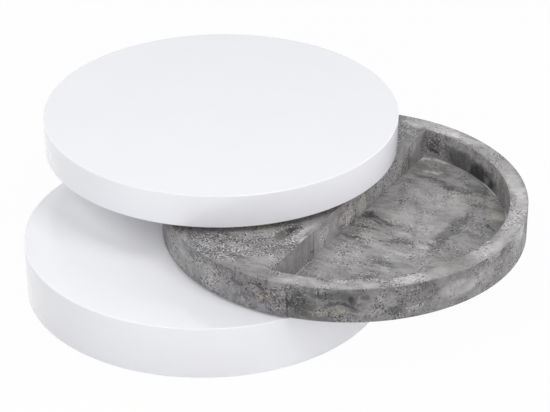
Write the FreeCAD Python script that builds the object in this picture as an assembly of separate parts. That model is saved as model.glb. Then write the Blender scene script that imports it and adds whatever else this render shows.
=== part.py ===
"""Swivel coffee table: a drum base, a tray disc and a top disc, fanned out on one off-centre pivot axle.

All three discs have the same outline and stack into one drum when they are turned home. The axle hangs
from the top disc, runs in nylon bushes through the tray and the base, and is closed by a nut under the
base. A flat ball bearing carries the tray on the base, and another carries the top on the tray.

Millimetres, +Z up. The origin is the centre of the base disc on the floor. +X points from the pivot axle
to the centre of the tray, square to the tray's straight wall, with the discs turned as they are stored.

Each disc is drawn in its own frame: the pivot axis is at (0, 0), and the disc's centre at
(PIVOT_DISTANCE, 0). Heights are real heights above the floor. export() turns it about the pivot.
"""
import FreeCAD, Part
import math
import os
from FreeCAD import Placement, Rotation, Vector

# ---- the stack ----------------------------------------------------------------------------------
DISC_RADIUS = 400.0
PIVOT_DISTANCE = 180.0        # from the pivot axis to the centre of every disc
GLIDE_HEIGHT = 4.0
BASE_THICKNESS = 120.0
TRAY_THICKNESS = 80.0
TOP_THICKNESS = 76.0

# Direction of each disc's centre seen from the pivot, in degrees about +Z. All equal when it is closed.
BASE_DIRECTION = 245.0
TRAY_DIRECTION = 0.0
TOP_DIRECTION = 160.5

# ---- boards -------------------------------------------------------------------------------------
LACQUERED_PANEL = 18.0        # upper panel of the base and of the top disc
BASE_FLOOR_PANEL = 12.0
TOP_FLOOR_PANEL = 12.0
DRUM_RIM_WIDTH = 18.0         # side wall of the base and of the top disc
DRUM_RIM_SEGMENTS = 12
GLUE_GAP = 0.2                # between boards that are glued edge to edge
EDGE_ROUND = 2.0              # rounding of the white discs' upper edge

TRAY_FLOOR_PANEL = 14.0
TRAY_DECK_PANEL = 15.0
TRAY_RIM_WIDTH = 40.0
TRAY_DIVIDER = 18.0
RECESS_WALL_DISTANCE = 20.0   # from the tray's centre to the recess's straight wall, away from the pivot
RECESS_RIM_SEGMENTS = 6
DECK_RIM_SEGMENTS = 6

RIB_THICKNESS = 16.0
RIB_END_GAP = 5.0             # ribs and blocks stop this far inside the rim
OUTER_RIB_SHIFT = 150.0       # cross ribs beyond the disc's centre, from that centre
PIVOT_BLOCK_LENGTH = 220.0
PIVOT_BLOCK_WIDTH = 202.0

# ---- pivot axle and its bushes ------------------------------------------------------------------
AXLE_RADIUS = 15.0
AXLE_SHOULDER = 5.0           # radial, where the thread starts
RUNNING_CLEARANCE = 0.05      # radial, axle in its bushes
BUSH_WALL = 5.0
BUSH_LENGTH = 16.0
BUSH_FLANGE = 3.0             # thickness
BUSH_FLANGE_WIDTH = 8.0
SEAT_GAP = 0.3                # between faces that slide past each other
SEAT_CLEARANCE = 2.0          # radial, holes that a flange drops into
THREAD_CLEARANCE = 0.2        # radial, washer and nut on the thread
WASHER_THICKNESS = 3.0
WASHER_LIP = 12.0             # radial, washer beyond the axle
NUT_HEIGHT = 18.0
NUT_WALL = 5.0
NUT_SIDES = 6
THREAD_END = 2.7              # thread that stands out below the nut
THREAD_RECESS = 9.0           # from the thread's end down to the underside of the base
SPANNER_ROOM = 7.0            # radial, hand hole beyond the lower bush's flange

AXLE_FLANGE_RADIUS = 46.0
AXLE_FLANGE_THICKNESS = 6.0
AXLE_WELD = 3.0
FLANGE_BOLTS = 4
FLANGE_BOLT_RADIUS = 3.0
FLANGE_BOLT_HEAD_WIDTH = 3.0  # radial, countersunk head beyond the shank
FLANGE_BOLT_LENGTH = 25.0
INSERT_WALL = 2.5
INSERT_LENGTH = 13.0

# ---- ball bearings ------------------------------------------------------------------------------
BALLS = 16
BALL_RADIUS = 4.5
BALL_CIRCLE = 105.0           # radius
RACE_LIP = 20.0               # race outside the ball circle
RACE_TO_FLANGE = 9.0          # radial, from the axle's flange to the races
RACE_THICKNESS = 3.0
BALL_PLAY = 0.3               # all round each ball
GROOVE_DEPTH = 0.8
CAGE_WIDTH = 20.0
CAGE_THICKNESS = 3.0
RACE_SCREWS = 6
POCKET_DEPTH = 8.0            # the lower bearing is let into the base
POCKET_CLEARANCE = 1.5        # radial

# ---- wood screws, glides and the access cap -----------------------------------------------------
SCREW_RADIUS = 2.0
SCREW_HEAD_WIDTH = 2.0        # radial, countersunk head beyond the shank
SCREW_LENGTH = 20.0
SCREW_POINT = 4.0             # length of the tapered point
PILOT_CLEARANCE = 0.05        # radial, fasteners in their holes

GLIDE_RADIUS = 20.0
GLIDE_CHAMFER = 1.0
GLIDE_INSET = 37.0            # from the inside of the rim to a glide's centre
OUTER_GLIDES = 6
NAIL_RADIUS = 1.5
NAIL_HEAD_WIDTH = 3.5         # radial, head beyond the shank
NAIL_HEAD_THICKNESS = 1.0
NAIL_LENGTH = 12.0
NAIL_COVER = 1.5              # glide left below the nail's head

CAP_FLANGE = 2.0
CAP_OVERLAP = 4.0
CAP_SKIRT_HEIGHT = 8.0
CAP_SKIRT_WALL = 2.5

# ---- heights and places that follow -------------------------------------------------------------
RACE_SPACING = 2 * (BALL_RADIUS + BALL_PLAY - GROOVE_DEPTH)
BEARING_HEIGHT = 2 * RACE_THICKNESS + RACE_SPACING

BASE_LOW = GLIDE_HEIGHT
BASE_TOP = BASE_LOW + BASE_THICKNESS
LOWER_BEARING = BASE_TOP - POCKET_DEPTH
TRAY_LOW = LOWER_BEARING + BEARING_HEIGHT
TRAY_TOP = TRAY_LOW + TRAY_THICKNESS
UPPER_BEARING = TRAY_TOP
TOP_LOW = UPPER_BEARING + BEARING_HEIGHT
TOP_TOP = TOP_LOW + TOP_THICKNESS

DRUM_INNER = DISC_RADIUS - DRUM_RIM_WIDTH
TRAY_INNER = DISC_RADIUS - TRAY_RIM_WIDTH
RECESS_WALL = PIVOT_DISTANCE + RECESS_WALL_DISTANCE
DIVIDER_BACK = RECESS_WALL - TRAY_DIVIDER
GLIDE_CIRCLE = DRUM_INNER - GLIDE_INSET

BUSH_RADIUS = AXLE_RADIUS + RUNNING_CLEARANCE + BUSH_WALL
BUSH_FLANGE_RADIUS = BUSH_RADIUS + BUSH_FLANGE_WIDTH
FLANGE_HOLE = BUSH_FLANGE_RADIUS + SEAT_CLEARANCE
THREAD_RADIUS = AXLE_RADIUS - AXLE_SHOULDER
WASHER_RADIUS = AXLE_RADIUS + WASHER_LIP
NUT_ACROSS_FLATS = 2 * (THREAD_RADIUS + NUT_WALL)
ACCESS_RADIUS = BUSH_FLANGE_RADIUS + SPANNER_ROOM
FLANGE_BOLT_CIRCLE = (AXLE_RADIUS + AXLE_WELD + AXLE_FLANGE_RADIUS) / 2
INSERT_RADIUS = FLANGE_BOLT_RADIUS + INSERT_WALL
RACE_INNER_RADIUS = AXLE_FLANGE_RADIUS + RACE_TO_FLANGE
RACE_OUTER_RADIUS = BALL_CIRCLE + RACE_LIP
RACE_SCREW_CIRCLE = (RACE_INNER_RADIUS + BALL_CIRCLE) / 2

NUT_RECESS = BUSH_FLANGE + SEAT_GAP + WASHER_THICKNESS + NUT_HEIGHT + THREAD_END + THREAD_RECESS
RECESS_CEILING = BASE_LOW + NUT_RECESS
WASHER_TOP = RECESS_CEILING - BUSH_FLANGE - SEAT_GAP

PIVOT = Vector(-PIVOT_DISTANCE * math.cos(math.radians(BASE_DIRECTION)),
               -PIVOT_DISTANCE * math.sin(math.radians(BASE_DIRECTION)), 0)
CENTRE = Vector(PIVOT_DISTANCE, 0, 0)
EDGE_TOLERANCE = 1e-3
REACH = 4 * DISC_RADIUS       # longer than anything that it cuts


# ---- shapes that repeat -------------------------------------------------------------------------
def cylinder(radius, low, high, centre=Vector(0, 0, 0)):
    return Part.makeCylinder(radius, high - low, Vector(centre.x, centre.y, low))


def ring(inner, outer, low, high, centre=Vector(0, 0, 0)):
    return cylinder(outer, low, high, centre).cut(cylinder(inner, low, high, centre))


def block(u_from, u_to, v_from, v_to, low, high):
    return Part.makeBox(u_to - u_from, v_to - v_from, high - low, Vector(u_from, v_from, low))


def round_edge(shape, radius, height, size):
    """Rounds the circular edge of that radius about the disc's centre at that height."""
    edges = [e for e in shape.Edges
             if isinstance(e.Curve, Part.Circle)
             and abs(e.Curve.Radius - radius) < EDGE_TOLERANCE
             and abs(e.Curve.Center.z - height) < EDGE_TOLERANCE]
    return shape.makeFillet(size, edges)


def around(count, circle_radius, first_deg=0.0):
    """Points evenly spaced on a circle about the pivot axis."""
    for i in range(count):
        angle = math.radians(first_deg + 360.0 * i / count)
        yield Vector(circle_radius * math.cos(angle), circle_radius * math.sin(angle), 0)


def sector(inner, outer, low, high, from_deg, to_deg):
    """One rim segment about the disc's centre, with half a glue gap left at each end."""
    trim = math.degrees(GLUE_GAP / 2 / outer)
    angles = [math.radians(a) for a in (from_deg + trim, (from_deg + to_deg) / 2, to_deg - trim)]

    def point(radius, angle):
        return Vector(PIVOT_DISTANCE + radius * math.cos(angle), radius * math.sin(angle), low)

    out = [point(outer, a) for a in angles]
    back = [point(inner, a) for a in angles]
    outline = Part.Wire([
        Part.Arc(*out).toShape(),
        Part.LineSegment(out[2], back[2]).toShape(),
        Part.Arc(back[2], back[1], back[0]).toShape(),
        Part.LineSegment(back[0], out[0]).toShape(),
    ])
    return Part.Face(outline).extrude(Vector(0, 0, high - low))


def rim(inner, low, high, count, from_deg=0.0, to_deg=360.0):
    """Segments glued end to end along the disc's edge."""
    step = (to_deg - from_deg) / count
    return [sector(inner, DISC_RADIUS, low, high, from_deg + i * step, from_deg + (i + 1) * step)
            for i in range(count)]


def fastener(radius, head, length, point, grow=0.0):
    """Countersunk fastener whose flat head lies at z = 0 and whose shank points down -Z."""
    shank = radius + grow
    corners = [(0, 0), (shank + head, 0), (shank, -head), (shank, point - length), (0, -length)]
    points = [Vector(r, 0, z) for r, z in corners]
    profile = Part.Face(Part.makePolygon(points + points[:1]))
    return profile.revolve(Vector(0, 0, 0), Vector(0, 0, 1), 360)


def fasteners(kind, places, height, upward, grow=0.0):
    """Copies of one fastener with their heads at that height, driven up or down."""
    made = []
    for place in places:
        one = fastener(*kind, grow=grow)
        turn = Rotation(Vector(1, 0, 0), 180 if upward else 0)
        one.Placement = Placement(Vector(place.x, place.y, height), turn)
        made.append(one)
    return made


WOOD_SCREW = (SCREW_RADIUS, SCREW_HEAD_WIDTH, SCREW_LENGTH, SCREW_POINT)
FLANGE_BOLT = (FLANGE_BOLT_RADIUS, FLANGE_BOLT_HEAD_WIDTH, FLANGE_BOLT_LENGTH, 0.0)


def without(shape, tools):
    return shape.cut(Part.makeCompound(tools))


# ---- the inside of a disc -----------------------------------------------------------------------
def drum_room(low, high):
    """The space inside the side wall of the base or of the top disc."""
    return cylinder(DRUM_INNER - RIB_END_GAP, low, high, CENTRE)


def tray_room(low, high):
    """The space under the tray's deck, between its rim and the divider."""
    inside = cylinder(TRAY_INNER - RIB_END_GAP, low, high, CENTRE)
    return inside.common(block(-REACH, DIVIDER_BACK - GLUE_GAP, -REACH, REACH, low, high))


def ribs(room, low, high, middle=()):
    """Two long ribs flank the pivot block, and cross ribs reach from them to the rim.

    The first cross ribs are level with the pivot. Those listed in middle also span between the two.
    """
    near = PIVOT_BLOCK_WIDTH / 2 + GLUE_GAP
    far = near + RIB_THICKNESS
    half = RIB_THICKNESS / 2
    boards = [block(-REACH, REACH, near, far, low, high), block(-REACH, REACH, -far, -near, low, high)]
    for u in (0.0, *middle):
        boards.append(block(u - half, u + half, far + GLUE_GAP, REACH, low, high))
        boards.append(block(u - half, u + half, -REACH, -far - GLUE_GAP, low, high))
    for u in middle:
        boards.append(block(u - half, u + half, GLUE_GAP - near, near - GLUE_GAP, low, high))
    return [board.common(room) for board in boards]


def pivot_block(room, low, high):
    half_length, half_width = PIVOT_BLOCK_LENGTH / 2, PIVOT_BLOCK_WIDTH / 2
    return block(-half_length, half_length, -half_width, half_width, low, high).common(room)


def bush(face, downward):
    """Flanged nylon bush: its flange lies on the block's face and its sleeve runs into the bore."""
    sign = -1 if downward else 1
    bore = AXLE_RADIUS + RUNNING_CLEARANCE
    sleeve_end = face + sign * BUSH_LENGTH
    flange_end = face - sign * BUSH_FLANGE
    sleeve = cylinder(BUSH_RADIUS, min(face, sleeve_end), max(face, sleeve_end))
    flange = cylinder(BUSH_FLANGE_RADIUS, min(face, flange_end), max(face, flange_end))
    hole = cylinder(bore, min(sleeve_end, flange_end), max(sleeve_end, flange_end))
    return sleeve.fuse(flange).cut(hole).removeSplitter()


# ---- one ball bearing ---------------------------------------------------------------------------
def bottom_race_screws(bearing_low, grow=0.0):
    """Wood screws driven down through a bearing's bottom race."""
    places = around(RACE_SCREWS, RACE_SCREW_CIRCLE)
    return fasteners(WOOD_SCREW, places, bearing_low + RACE_THICKNESS, False, grow)


def top_race_screws(bearing_low, grow=0.0):
    """Wood screws driven up through a bearing's top race."""
    places = around(RACE_SCREWS, RACE_SCREW_CIRCLE)
    return fasteners(WOOD_SCREW, places, bearing_low + BEARING_HEIGHT - RACE_THICKNESS, True, grow)


def grooved_ring(bearing_low, low):
    """A flat steel ring with the balls' groove in the face that looks at them."""
    middle = bearing_low + BEARING_HEIGHT / 2
    groove = Part.makeTorus(BALL_CIRCLE, BALL_RADIUS + BALL_PLAY, Vector(0, 0, middle))
    return ring(RACE_INNER_RADIUS, RACE_OUTER_RADIUS, low, low + RACE_THICKNESS).cut(groove)


def bottom_race(bearing_low):
    return without(grooved_ring(bearing_low, bearing_low),
                   bottom_race_screws(bearing_low, PILOT_CLEARANCE))


def top_race(bearing_low):
    return without(grooved_ring(bearing_low, bearing_low + BEARING_HEIGHT - RACE_THICKNESS),
                   top_race_screws(bearing_low, PILOT_CLEARANCE))


def balls(bearing_low):
    middle = bearing_low + BEARING_HEIGHT / 2
    return [Part.makeSphere(BALL_RADIUS, p + Vector(0, 0, middle)) for p in around(BALLS, BALL_CIRCLE)]


def cage(bearing_low):
    middle = bearing_low + BEARING_HEIGHT / 2
    low, high = middle - CAGE_THICKNESS / 2, middle + CAGE_THICKNESS / 2
    band = ring(BALL_CIRCLE - CAGE_WIDTH / 2, BALL_CIRCLE + CAGE_WIDTH / 2, low, high)
    pockets = [cylinder(BALL_RADIUS + BALL_PLAY, low, high, p) for p in around(BALLS, BALL_CIRCLE)]
    return without(band, pockets)


# ---- base disc ----------------------------------------------------------------------------------
def base_top_panel():
    low = BASE_TOP - LACQUERED_PANEL
    panel = cylinder(DISC_RADIUS, low, BASE_TOP, CENTRE)
    panel = round_edge(panel, DISC_RADIUS, BASE_TOP, EDGE_ROUND)
    pocket = cylinder(RACE_OUTER_RADIUS + POCKET_CLEARANCE, LOWER_BEARING, BASE_TOP)
    return without(panel, [pocket, cylinder(FLANGE_HOLE, low, BASE_TOP)]
                   + bottom_race_screws(LOWER_BEARING, PILOT_CLEARANCE))


def base_pivot_block():
    low, high = BASE_LOW + BASE_FLOOR_PANEL, BASE_TOP - LACQUERED_PANEL
    return without(pivot_block(drum_room(low, high), low, high), [
        cylinder(ACCESS_RADIUS, low, RECESS_CEILING),
        cylinder(BUSH_RADIUS, RECESS_CEILING, high),
    ] + bottom_race_screws(LOWER_BEARING, PILOT_CLEARANCE))


def glide_places():
    """One glide under the middle of the base and a ring of them near its rim."""
    return [CENTRE] + [CENTRE + p for p in around(OUTER_GLIDES, GLIDE_CIRCLE, 180.0 / OUTER_GLIDES)]


def glide_nail(place, grow=0.0):
    shank = NAIL_RADIUS + grow
    head = cylinder(shank + NAIL_HEAD_WIDTH, NAIL_COVER, NAIL_COVER + NAIL_HEAD_THICKNESS, place)
    return head.fuse(cylinder(shank, NAIL_COVER, NAIL_COVER + NAIL_LENGTH, place))


def floor_glides():
    made = []
    for place in glide_places():
        foot = cylinder(GLIDE_RADIUS, 0, GLIDE_HEIGHT, place)
        lower = [e for e in foot.Edges
                 if isinstance(e.Curve, Part.Circle) and abs(e.Curve.Center.z) < EDGE_TOLERANCE]
        made.append(foot.makeChamfer(GLIDE_CHAMFER, lower).cut(glide_nail(place, PILOT_CLEARANCE)))
    return made


def base_floor_panel():
    low, high = BASE_LOW, BASE_LOW + BASE_FLOOR_PANEL
    panel = cylinder(DRUM_INNER - GLUE_GAP, low, high, CENTRE)
    nails = [glide_nail(place, PILOT_CLEARANCE) for place in glide_places()]
    return without(panel, [cylinder(ACCESS_RADIUS, low, high)] + nails)


def access_cap():
    """Snap-in plug that closes the hand hole below the nut."""
    flange = cylinder(ACCESS_RADIUS + CAP_OVERLAP, BASE_LOW - CAP_FLANGE, BASE_LOW)
    outer = ACCESS_RADIUS - PILOT_CLEARANCE
    skirt = ring(outer - CAP_SKIRT_WALL, outer, BASE_LOW, BASE_LOW + CAP_SKIRT_HEIGHT)
    return flange.fuse(skirt).removeSplitter()


def base_disc():
    low, high = BASE_LOW + BASE_FLOOR_PANEL, BASE_TOP - LACQUERED_PANEL
    return {
        "base_top_panel": base_top_panel(),
        "base_rim_segments": rim(DRUM_INNER, BASE_LOW, high, DRUM_RIM_SEGMENTS),
        "base_floor_panel": base_floor_panel(),
        "base_ribs": ribs(drum_room(low, high), low, high, [PIVOT_DISTANCE + OUTER_RIB_SHIFT]),
        "base_pivot_block": base_pivot_block(),
        "base_bush_upper": bush(high, downward=True),
        "base_bush_lower": bush(RECESS_CEILING, downward=False),
        "access_cap": access_cap(),
        "floor_glides": floor_glides(),
        "glide_nails": [glide_nail(place) for place in glide_places()],
        "lower_race_bottom": bottom_race(LOWER_BEARING),
        "lower_race_bottom_screws": bottom_race_screws(LOWER_BEARING),
    }


# ---- tray disc ----------------------------------------------------------------------------------
def beyond_wall(low, high):
    """All the room on the recess's side of its straight wall."""
    return block(RECESS_WALL, REACH, -REACH, REACH, low, high)


def wall_angle(radius, past):
    """Where a circle of that radius meets the straight wall, plus a little more, in degrees."""
    return math.degrees(math.acos(RECESS_WALL_DISTANCE / radius) + past / radius)


def recess_rim_segments():
    """Full-height rim around the recess. Its ends are flush with the straight wall."""
    low, high = TRAY_LOW + TRAY_FLOOR_PANEL, TRAY_TOP
    half_turn = wall_angle(DISC_RADIUS, GLUE_GAP)
    return [segment.common(beyond_wall(low, high))
            for segment in rim(TRAY_INNER, low, high, RECESS_RIM_SEGMENTS, -half_turn, half_turn)]


def deck_rim_segments():
    """Rim under the deck, on the pivot's side of the straight wall."""
    low, high = TRAY_LOW + TRAY_FLOOR_PANEL, TRAY_TOP - TRAY_DECK_PANEL
    half_turn = wall_angle(TRAY_INNER, -GLUE_GAP)
    keep_out = block(RECESS_WALL - GLUE_GAP, REACH, -REACH, REACH, low, high)
    return [segment.cut(keep_out)
            for segment in rim(TRAY_INNER, low, high, DECK_RIM_SEGMENTS, half_turn, 360 - half_turn)]


def tray_deck():
    """The flush board over the pivot, a disc cut off square at the recess's straight wall."""
    low, high = TRAY_TOP - TRAY_DECK_PANEL, TRAY_TOP
    board = cylinder(DISC_RADIUS, low, high, CENTRE).cut(beyond_wall(low, high))
    return without(board, [cylinder(FLANGE_HOLE, low, high)]
                   + bottom_race_screws(UPPER_BEARING, PILOT_CLEARANCE))


def tray_divider():
    low, high = TRAY_LOW + TRAY_FLOOR_PANEL, TRAY_TOP - TRAY_DECK_PANEL
    board = block(DIVIDER_BACK, RECESS_WALL, -REACH, REACH, low, high)
    return board.common(cylinder(TRAY_INNER - GLUE_GAP, low, high, CENTRE))


def tray_floor_panel():
    low, high = TRAY_LOW, TRAY_LOW + TRAY_FLOOR_PANEL
    board = cylinder(DISC_RADIUS, low, high, CENTRE)
    return without(board, [cylinder(FLANGE_HOLE, low, high)]
                   + top_race_screws(LOWER_BEARING, PILOT_CLEARANCE))


def tray_pivot_block():
    low, high = TRAY_LOW + TRAY_FLOOR_PANEL, TRAY_TOP - TRAY_DECK_PANEL
    return without(pivot_block(tray_room(low, high), low, high), [cylinder(BUSH_RADIUS, low, high)]
                   + top_race_screws(LOWER_BEARING, PILOT_CLEARANCE)
                   + bottom_race_screws(UPPER_BEARING, PILOT_CLEARANCE))


def tray_disc():
    low, high = TRAY_LOW + TRAY_FLOOR_PANEL, TRAY_TOP - TRAY_DECK_PANEL
    return {
        "tray_floor_panel": tray_floor_panel(),
        "tray_recess_rim_segments": recess_rim_segments(),
        "tray_deck_rim_segments": deck_rim_segments(),
        "tray_deck": tray_deck(),
        "tray_divider": tray_divider(),
        "tray_ribs": ribs(tray_room(low, high), low, high),
        "tray_pivot_block": tray_pivot_block(),
        "tray_bush_lower": bush(low, downward=False),
        "tray_bush_upper": bush(high, downward=True),
        "lower_race_top": top_race(LOWER_BEARING),
        "lower_race_top_screws": top_race_screws(LOWER_BEARING),
        "upper_race_bottom": bottom_race(UPPER_BEARING),
        "upper_race_bottom_screws": bottom_race_screws(UPPER_BEARING),
    }


# ---- top disc and the axle that hangs from it ---------------------------------------------------
def flange_bolt_places():
    return around(FLANGE_BOLTS, FLANGE_BOLT_CIRCLE, 180.0 / FLANGE_BOLTS)


def flange_bolts(grow=0.0):
    return fasteners(FLANGE_BOLT, flange_bolt_places(), TOP_LOW - AXLE_FLANGE_THICKNESS, True, grow)


def flange_inserts():
    """Threaded sleeves let into the underside of the top's pivot block."""
    low = TOP_LOW + TOP_FLOOR_PANEL
    return [ring(FLANGE_BOLT_RADIUS + PILOT_CLEARANCE, INSERT_RADIUS, low, low + INSERT_LENGTH, p)
            for p in flange_bolt_places()]


def pivot_axle():
    """Bolting flange, weld bead, axle and threaded end in one piece."""
    flange_low = TOP_LOW - AXLE_FLANGE_THICKNESS
    flange = cylinder(AXLE_FLANGE_RADIUS, flange_low, TOP_LOW)
    weld = Part.makeCone(AXLE_RADIUS, AXLE_RADIUS + AXLE_WELD, AXLE_WELD,
                         Vector(0, 0, flange_low - AXLE_WELD))
    axle = cylinder(AXLE_RADIUS, WASHER_TOP, flange_low)
    thread_low = WASHER_TOP - WASHER_THICKNESS - NUT_HEIGHT - THREAD_END
    thread = cylinder(THREAD_RADIUS, thread_low, WASHER_TOP)
    return without(axle.fuse([flange, weld, thread]).removeSplitter(), flange_bolts(PILOT_CLEARANCE))


def axle_washer():
    bore = THREAD_RADIUS + THREAD_CLEARANCE
    return ring(bore, WASHER_RADIUS, WASHER_TOP - WASHER_THICKNESS, WASHER_TOP)


def axle_nut():
    """Lock nut with its corners chamfered on the lower face."""
    high = WASHER_TOP - WASHER_THICKNESS
    low = high - NUT_HEIGHT
    half_flats = NUT_ACROSS_FLATS / 2
    corner = half_flats / math.cos(math.pi / NUT_SIDES)
    points = [place + Vector(0, 0, low) for place in around(NUT_SIDES, corner)]
    body = Part.Face(Part.makePolygon(points + points[:1])).extrude(Vector(0, 0, NUT_HEIGHT))
    chamfer = Part.makeCone(half_flats, half_flats + NUT_HEIGHT, NUT_HEIGHT, Vector(0, 0, low))
    return body.common(chamfer).cut(cylinder(THREAD_RADIUS + THREAD_CLEARANCE, low, high))


def top_panel():
    panel = cylinder(DISC_RADIUS, TOP_TOP - LACQUERED_PANEL, TOP_TOP, CENTRE)
    return round_edge(panel, DISC_RADIUS, TOP_TOP, EDGE_ROUND)


def top_floor_panel():
    low, high = TOP_LOW, TOP_LOW + TOP_FLOOR_PANEL
    board = cylinder(DRUM_INNER - GLUE_GAP, low, high, CENTRE)
    return without(board, top_race_screws(UPPER_BEARING, PILOT_CLEARANCE)
                   + flange_bolts(PILOT_CLEARANCE))


def top_pivot_block():
    low, high = TOP_LOW + TOP_FLOOR_PANEL, TOP_TOP - LACQUERED_PANEL
    insert_holes = [cylinder(INSERT_RADIUS, low, low + INSERT_LENGTH, p) for p in flange_bolt_places()]
    return without(pivot_block(drum_room(low, high), low, high),
                   top_race_screws(UPPER_BEARING, PILOT_CLEARANCE)
                   + flange_bolts(PILOT_CLEARANCE) + insert_holes)


def top_disc():
    low, high = TOP_LOW + TOP_FLOOR_PANEL, TOP_TOP - LACQUERED_PANEL
    return {
        "top_panel": top_panel(),
        "top_rim_segments": rim(DRUM_INNER, TOP_LOW, high, DRUM_RIM_SEGMENTS),
        "top_floor_panel": top_floor_panel(),
        "top_ribs": ribs(drum_room(low, high), low, high, [PIVOT_DISTANCE + OUTER_RIB_SHIFT]),
        "top_pivot_block": top_pivot_block(),
        "upper_race_top": top_race(UPPER_BEARING),
        "upper_race_top_screws": top_race_screws(UPPER_BEARING),
        "pivot_axle": pivot_axle(),
        "flange_bolts": flange_bolts(),
        "flange_inserts": flange_inserts(),
        "axle_washer": axle_washer(),
        "axle_nut": axle_nut(),
    }


# ---- assembly -----------------------------------------------------------------------------------
def export(pieces, direction):
    """Turns one disc's pieces to their stored direction about the pivot and writes each node."""
    turned = Placement(PIVOT, Rotation(Vector(0, 0, 1), direction))
    for node, shape in pieces.items():
        solids = shape if isinstance(shape, list) else [shape]
        whole = Part.makeCompound([s for part in solids for s in part.Solids])
        whole.Placement = turned
        whole.exportStep(f"parts/{node}.step")


def main():
    os.makedirs("parts", exist_ok=True)
    export(base_disc(), BASE_DIRECTION)
    export({"lower_cage": cage(LOWER_BEARING), "lower_balls": balls(LOWER_BEARING)}, TRAY_DIRECTION)
    export(tray_disc(), TRAY_DIRECTION)
    export({"upper_cage": cage(UPPER_BEARING), "upper_balls": balls(UPPER_BEARING)}, TOP_DIRECTION)
    export(top_disc(), TOP_DIRECTION)


main()
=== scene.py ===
import math

import bmesh
import bpy
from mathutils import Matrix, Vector


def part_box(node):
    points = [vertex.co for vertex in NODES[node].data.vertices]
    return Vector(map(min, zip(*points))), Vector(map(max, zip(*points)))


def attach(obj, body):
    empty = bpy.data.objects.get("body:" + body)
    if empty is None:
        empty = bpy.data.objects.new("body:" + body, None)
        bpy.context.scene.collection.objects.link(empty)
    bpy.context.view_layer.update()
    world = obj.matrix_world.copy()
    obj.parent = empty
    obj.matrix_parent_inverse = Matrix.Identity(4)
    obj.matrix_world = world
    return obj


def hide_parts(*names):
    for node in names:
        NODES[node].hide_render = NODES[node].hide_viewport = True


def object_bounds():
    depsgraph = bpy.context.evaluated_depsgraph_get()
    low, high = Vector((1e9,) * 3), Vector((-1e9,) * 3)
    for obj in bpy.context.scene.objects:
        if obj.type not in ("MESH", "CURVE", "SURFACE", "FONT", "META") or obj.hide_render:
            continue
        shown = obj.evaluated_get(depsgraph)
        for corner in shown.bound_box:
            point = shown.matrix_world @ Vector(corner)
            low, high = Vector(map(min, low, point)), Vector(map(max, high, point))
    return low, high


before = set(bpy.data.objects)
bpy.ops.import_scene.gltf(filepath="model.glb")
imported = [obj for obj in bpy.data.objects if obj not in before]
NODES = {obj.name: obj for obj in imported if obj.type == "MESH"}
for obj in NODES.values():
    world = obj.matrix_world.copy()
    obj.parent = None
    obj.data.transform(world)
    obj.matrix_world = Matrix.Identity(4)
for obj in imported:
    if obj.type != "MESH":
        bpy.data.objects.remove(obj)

CAD_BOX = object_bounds()


# ---- camera -------------------------------------------------------------------------------------
def stand_camera(place, turn, tilt, lens):
    """A camera that looks tilt degrees below the horizon. Its turn runs from +Y towards -X."""
    data = bpy.data.cameras.new("camera")
    data.lens = lens
    camera = bpy.data.objects.new("camera", data)
    camera.location = place
    camera.rotation_euler = (math.radians(90 - tilt), 0, math.radians(turn))
    bpy.context.scene.collection.objects.link(camera)
    bpy.context.scene.camera = camera


stand_camera((2.207359, -3.565342, 2.566331), turn=29.7013, tilt=29.5955, lens=144.281)


# ---- shapes -------------------------------------------------------------------------------------
STEPS_ROUND = 256
STEPS_ALONG_WALL = 24
SHARP = math.radians(35)
CAP_RINGS = (0.98, 0.75, 0.5, 0.25, 0.08)


def middle(node):
    """The middle of a node's box: for a round node, its centre."""
    low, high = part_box(node)
    return (low + high) / 2


def radius_of(node):
    low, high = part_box(node)
    return (high.x - low.x) / 2


def foot_of(node):
    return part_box(node)[0].z


def top_of(node):
    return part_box(node)[1].z


PIVOT = middle("axle_washer")


def on_circle(centre, radius, turn, height):
    return Vector((centre.x + radius * math.cos(turn), centre.y + radius * math.sin(turn), height))


def circle(centre, radius, height):
    turns = [2 * math.pi * step / STEPS_ROUND for step in range(STEPS_ROUND)]
    return [on_circle(centre, radius, turn, height) for turn in turns]


def cut_circle(centre, radius, wall, height, beyond):
    """A circle cut off by a straight wall that stands wall away from its centre along +X."""
    half = math.acos(wall / radius)
    first, last = (-half, half) if beyond else (half, 2 * math.pi - half)
    turns = [first + (last - first) * step / STEPS_ROUND for step in range(STEPS_ROUND + 1)]
    arc = [on_circle(centre, radius, turn, height) for turn in turns]
    chord = [arc[-1].lerp(arc[0], step / STEPS_ALONG_WALL) for step in range(1, STEPS_ALONG_WALL)]
    return arc + chord


def edge_steps(size, steps):
    """How far in and how far down each line of a rounded edge lies, from the flat face to the side."""
    angles = [math.pi / 2 * step / steps for step in range(steps + 1)]
    return [(size * (1 - math.sin(angle)), size * (1 - math.cos(angle))) for angle in angles]


def lay(mesh, points):
    return [mesh.verts.new(point) for point in points]


def band(mesh, one, other, slot):
    """A closed strip of faces between two lines of as many points."""
    for here in range(len(one)):
        there = (here + 1) % len(one)
        mesh.faces.new((one[here], one[there], other[there], other[here])).material_index = slot


def bands(mesh, lines, slot):
    """Faces from each line to the next. The last line is given back, to carry on from."""
    for one, other in zip(lines, lines[1:]):
        band(mesh, one, other, slot)
    return lines[-1]


def flat_face(mesh, lines, slot):
    """One level face between its outline and the openings in it."""
    edges = []
    for line in lines:
        for here in range(len(line)):
            pair = (line[here], line[(here + 1) % len(line)])
            edges.append(mesh.edges.get(pair) or mesh.edges.new(pair))
    made = bmesh.ops.triangle_fill(mesh, use_beauty=True, use_dissolve=False, edges=edges)
    for part in made["geom"]:
        if isinstance(part, bmesh.types.BMFace):
            part.material_index = slot


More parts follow.
